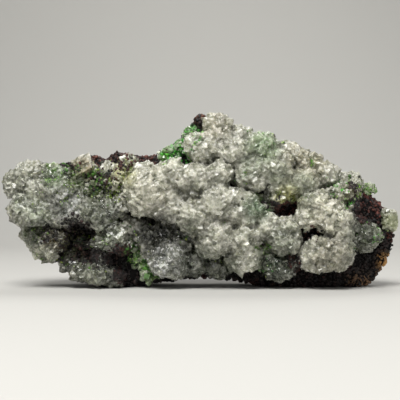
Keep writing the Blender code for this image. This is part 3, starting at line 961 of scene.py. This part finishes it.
def green_group(name, looks, rng):
    """A conichalcite crust: round grains a third to one millimetre across, crowded over the low
    solid and lifted in lumps, the sunk ones darker and the lifted ones lighter by painted shade and
    light, with the rock's brown ones among them in patches, and small calcite crystals that grew on
    them.
    """
    places, normals, _ = open_places(name, CRUST_PER_MM2, CRUST_SPACING, CRUST_CLEARANCE, rng)
    size = sizes_round(CRUST_RADIUS, 0.4, CRUST_LIMITS, len(places), rng)
    lift = rng.uniform(-0.1, 0.2, len(places)) + 0.35 * drift(places, *CRUST_LUMPS)
    _, greens = greens_at(places, np.ones(len(places)), rng)
    # Painted shade and light: sunk grains darker, lifted ones lighter.
    tints = grain_tints(greens, rng) * (0.55 + 0.6 * eased(lift, -0.3, 0.4))[:, None]
    rock_share = 0.8 * eased(drift(places, *CRUST_ROCK), 0.3, 0.6) + 0.06 + 0.3 * rocky(places)
    brown = rng.random(len(places)) < rock_share
    tints = np.where(brown[:, None], rock_tints(places, rng), tints)
    swarm(name + "_grains", ball(6, 4), places + normals * lift[:, None],
          frames_along(normals, 0.8, rng), size[:, None] * rng.uniform(0.7, 1.2, (len(size), 3)),
          tints, looks["green"], smooth=True)

    crystal_share = 0.24 + 0.3 * drift(places, *CRUST_CRYSTALS) - 0.2 * rocky(places)
    on_top = rng.random(len(places)) < crystal_share
    if not on_top.any():
        return
    places, normals, greens = places[on_top], normals[on_top], greens[on_top]
    size = sizes_round(CRUST_CRYSTAL, 0.35, CRUST_CRYSTAL_LIMITS, len(places), rng)
    frames = frames_along(normals, 0.7, rng)
    sizes = size[:, None] * rng.uniform(0.8, 1.3, (len(size), 3))
    clouded = rng.uniform(0.1, 0.95, (len(size), 1))
    tints = linear(PALE) * clouded + greens * (1.2 - clouded)
    swarm(name + "_crystals", rhombohedron(), places + normals * (size * 0.6)[:, None], frames,
          sizes, tints.clip(0, 0.9), looks["frosted"])


def rock_group(name, keep, spacing, radius, rough, smooth, look, minerals, rng):
    """The rock's small round grains, crowded over its free surface where keep(places, normals)
    holds. They stand on lumps: two smooth random fields lift them out of the surface or sink them
    into it, and painted shade and light darken the sunk ones and lighten the lifted ones.
    """
    places, normals = scattered(*node_mesh(ROCK), TRIED_IN_CUBE / spacing**2, rng)
    chosen = keep(places, normals) & (places[:, 2] > ROCK_FLOOR_GAP)
    places, normals = places[chosen], normals[chosen]
    chosen = spaced(places, spacing, rng)
    places, normals = places[chosen], normals[chosen]
    free = distances(minerals, places + normals * 0.1) > ROCK_CLEARANCE
    places, normals = places[free], normals[free]
    size = sizes_round(radius, 0.32, (radius * 0.5, radius * 2), len(places), rng)
    lift = (drift(places, *ROCK_LUMPS) * 0.55 + drift(places, *ROCK_BUMPS) * 0.25) * rough
    sizes = size[:, None] * rng.uniform(0.7, 1.25, (len(places), 3))
    frames = frames_along(normals, 0.8, rng)
    # Painted shade and light: sunk grains darker, lifted ones lighter.
    tints = rock_tints(places, rng) * (0.75 + 0.45 * eased(lift, -0.4, 0.6))[:, None]
    swarm(name, ball(5, 3), places + normals * lift[:, None], frames, sizes, tints, look,
          smooth)


def in_front(places, normals):
    """Where the rock faces the viewer or up."""
    return (normals[:, 1] < -0.2) | (normals[:, 2] > 0.75)


def in_front_left(places, normals):
    """The half of the rock's front with x below 0."""
    return in_front(places, normals) & (places[:, 0] < 0)


def in_front_right(places, normals):
    """The half of the rock's front with x from 0 up."""
    return in_front(places, normals) & (places[:, 0] >= 0)


def behind(places, normals):
    """All of the rock that doesn't face the viewer or up."""
    return ~in_front(places, normals)


def rock_lump(name, look, rng):
    """A lump of the rock's grains, as a ball of them that is half sunk in the rock, at the rock's
    corner that is nearest to PEAK seen from the front.
    """
    x, z = PEAK
    corners, _ = node_mesh(ROCK)
    far = np.hypot(corners[:, 0] - x, corners[:, 2] - z) + 0.1 * corners[:, 1]
    middle = corners[far.argmin()] * [0, 1, 0] + [x, 0, z]
    outward = unit(rng.normal(size=(PEAK_GRAINS, 3)))
    places = middle + outward * PEAK_SIZE * rng.uniform(0.7, 1.0, (PEAK_GRAINS, 1))
    sprinkled(name, places, PEAK_RADIUS, rock_tints(places, rng), look, rng)


# The studio

# Soft boxes: name, place, width, watts. Each looks at AIM. SKY is the strength of the pale sky.
SOFT_BOXES = (
    ("key_box", (-70, -250, 420), 280, 3.3),
    ("front_box", (160, -430, 120), 200, 0.3),
    ("back_box", (60, 260, 380), 220, 0.8),
)
AIM = (0, 0, 24)
SKY = 0.16

# The floor runs from FLOOR_FRONT to SWEEP_START, then bends up with SWEEP_RADIUS to a wall. It is
# FLOOR_DROP under the specimen.
HALF_WIDTH = 900
FLOOR_FRONT = -700
SWEEP_START = 250
SWEEP_RADIUS = 180
WALL_TOP = 900
FLOOR_DROP = 0.01

# The camera: its place, and its lens on a sensor 36 mm wide.
CAMERA_PLACE = (0.0, -300.0, 24.9)
LENS = 93.5


def backdrop():
    """A pale floor that sweeps up into a backdrop: a straight floor, a quarter circle and a wall,
    as a profile in y and z carried along x.
    """
    look, tree, out = blank("matt_backdrop")
    shader = node(tree, "ShaderNodeBsdfPrincipled",
                  {"Roughness": 0.9, "Base Color": (*linear("#bab9b5"), 1.0)})
    tree.links.new(shader.outputs["BSDF"], out.inputs["Surface"])
    along = np.linspace(-HALF_WIDTH, HALF_WIDTH, 7)
    bend = np.radians(np.linspace(0, 90, 13))
    profile = np.concatenate([
        [[FLOOR_FRONT, 0.0], [0, 0.0]],
        np.stack([SWEEP_START + SWEEP_RADIUS * np.sin(bend),
                  SWEEP_RADIUS - SWEEP_RADIUS * np.cos(bend)], axis=1),
        [[SWEEP_START + SWEEP_RADIUS, WALL_TOP]],
    ])
    x, row = np.meshgrid(along, np.arange(len(profile)), indexing="ij")
    points = np.stack([x, profile[row, 0], profile[row, 1] - FLOOR_DROP], axis=-1).reshape(-1, 3)
    i, j = np.meshgrid(np.arange(len(along) - 1), np.arange(len(profile) - 1), indexing="ij")
    corner = (i * len(profile) + j).ravel()
    next_corner = corner + len(profile)
    faces = np.stack([corner, next_corner, next_corner + 1, corner + 1], axis=1)
    mesh = bpy.data.meshes.new("floor")
    mesh.from_pydata((points * MM).tolist(), [], faces.tolist())
    mesh.materials.append(look)
    mesh.polygons.foreach_set("use_smooth", np.full(len(faces), True))
    floor = bpy.data.objects.new("floor", mesh)
    bpy.context.scene.collection.objects.link(floor)


def lights():
    """Three soft boxes and a pale sky."""
    for name, where, width, watts in SOFT_BOXES:
        lamp = bpy.data.lights.new(name, "AREA")
        lamp.shape = "SQUARE"
        lamp.size = width * MM
        lamp.energy = watts
        lamp.color = (1.0, 0.99, 0.97)
        obj = bpy.data.objects.new(name, lamp)
        obj.location = Vector(where) * MM
        line = Vector(AIM) * MM - obj.location
        obj.rotation_euler = line.to_track_quat("-Z", "Y").to_euler()
        bpy.context.scene.collection.objects.link(obj)
    world = bpy.data.worlds.new("soft_sky")
    world.use_nodes = True
    sky = world.node_tree.nodes["Background"]
    sky.inputs["Color"].default_value = (0.93, 0.95, 0.95, 1.0)
    sky.inputs["Strength"].default_value = SKY
    bpy.context.scene.world = world


def camera():
    """Level with the specimen's middle, in front of it, with its length across the whole frame."""
    data = bpy.data.cameras.new("camera")
    data.sensor_width = 36.0
    data.lens = LENS
    data.clip_start = 0.01
    data.clip_end = 20.0
    obj = bpy.data.objects.new("camera", data)
    obj.location = Vector(CAMERA_PLACE) * MM
    obj.rotation_euler = (math.radians(90), 0, 0)
    bpy.context.scene.collection.objects.link(obj)
    bpy.context.scene.camera = obj


# The whole specimen

def made_looks():
    """The looks of the three minerals, by short names."""
    return {
        # Frosted: fine faces and veils scatter the light, so it is milky white with small sparks.
        "frosted": calcite_look("frosted_calcite", transmission=(0.3, 0.6), glow=1.0, reach=0.45,
                                rough=(0.10, 0.34), veil=("#cfccbe", 0.4), density=40.0),
        # Glassy: larger clear rhombs with bright reflections, and a grey-green dark inside,
        # absorbed in its volume and darkened in the windows by painted shade.
        "glassy": calcite_look("glassy_calcite", transmission=(0.5, 0.9), glow=0.9, reach=0.28,
                               rough=(0.04, 0.24), veil=("#e8e7da", 0.45), density=80.0),
        # Tips: the clean faces of single rhombs, each one even patch of light.
        "tips": calcite_look("calcite_tips", transmission=(0.15, 0.4), glow=1.0, reach=0.45,
                             rough=(0.12, 0.30), veil=("#e8e7da", 0.3), density=0.0),
        # Conichalcite: tiny grown balls, waxy and green, with a soft gloss.
        "green": grain_look("conichalcite_grains", None, 0.4, CONICHALCITE_IOR, 0.25,
                            mottle=(0.7, 1.2), bump=0.4),
        "green_bed": grain_look("conichalcite_bed",
                                [(0.35, "#0d2a0c"), (0.55, "#1a4a14"), (0.75, "#3c5a20")],
                                0.5, CONICHALCITE_IOR, 0.4, mottle=(0.6, 1.2), bump=0.8),
        # Limonite: earthy and matt, nearly black in its pores. The bed between its grains is nearly
        # black as well, partly its own dark and partly painted shade in the gaps.
        "rock": grain_look("limonite_grains", None, 0.6, LIMONITE_IOR, 0.22,
                           mottle=(0.5, 1.3), bump=0.9),
        "pores_and_painted_shade": grain_look("limonite_pores_and_painted_shade",
                            [(0.35, "#050303"), (0.55, "#0b0706"), (0.75, "#140c09")],
                            0.9, LIMONITE_IOR, 0.1, mottle=(0.5, 1.2), bump=1.0),
    }


def finished(name, look):
    """The CAD node takes the look as its only material."""
    NODES[name].data.materials.clear()
    NODES[name].data.materials.append(look)


def main():
    """Builds the calcite masses, then the crusts, then the rock, and the studio round them."""
    camera()
    looks = made_looks()
    seated = {name: open_places(name, SEATS_PER_MM2, KNOB_SPACING, KNOB_CLEARANCE, RNG)
              for name in CALCITE}
    all_seats = np.concatenate([places for places, _, _ in seated.values()])
    for name in CALCITE:
        crystal_group(name, seated[name], all_seats, looks, RNG)
    for name in CONICHALCITE:
        finished(name, looks["green_bed"])
        green_group(name, looks, RNG)
    # The rock's solid is the near-black bed: partly its own dark, partly painted shade between
    # grains.
    finished(ROCK, looks["pores_and_painted_shade"])
    minerals = tree_of(CALCITE + CONICHALCITE)
    # The rock's grains: piece, where, spacing, radius, how far lumps lift them, smooth or flat.
    for name, keep, spacing, radius, rough, smooth in (
        ("limonite_front_left_grains", in_front_left, 0.60, 0.34, 1.0, True),
        ("limonite_front_right_grains", in_front_right, 0.60, 0.34, 1.0, True),
        ("limonite_back_grains", behind, 0.95, 0.62, 1.3, False),
    ):
        rock_group(name, keep, spacing, radius, rough, smooth, looks["rock"], minerals, RNG)
    rock_lump("limonite_peak_grains", looks["rock"], RNG)
    backdrop()
    lights()
    bpy.context.scene.view_settings.view_transform = "Standard"


main()
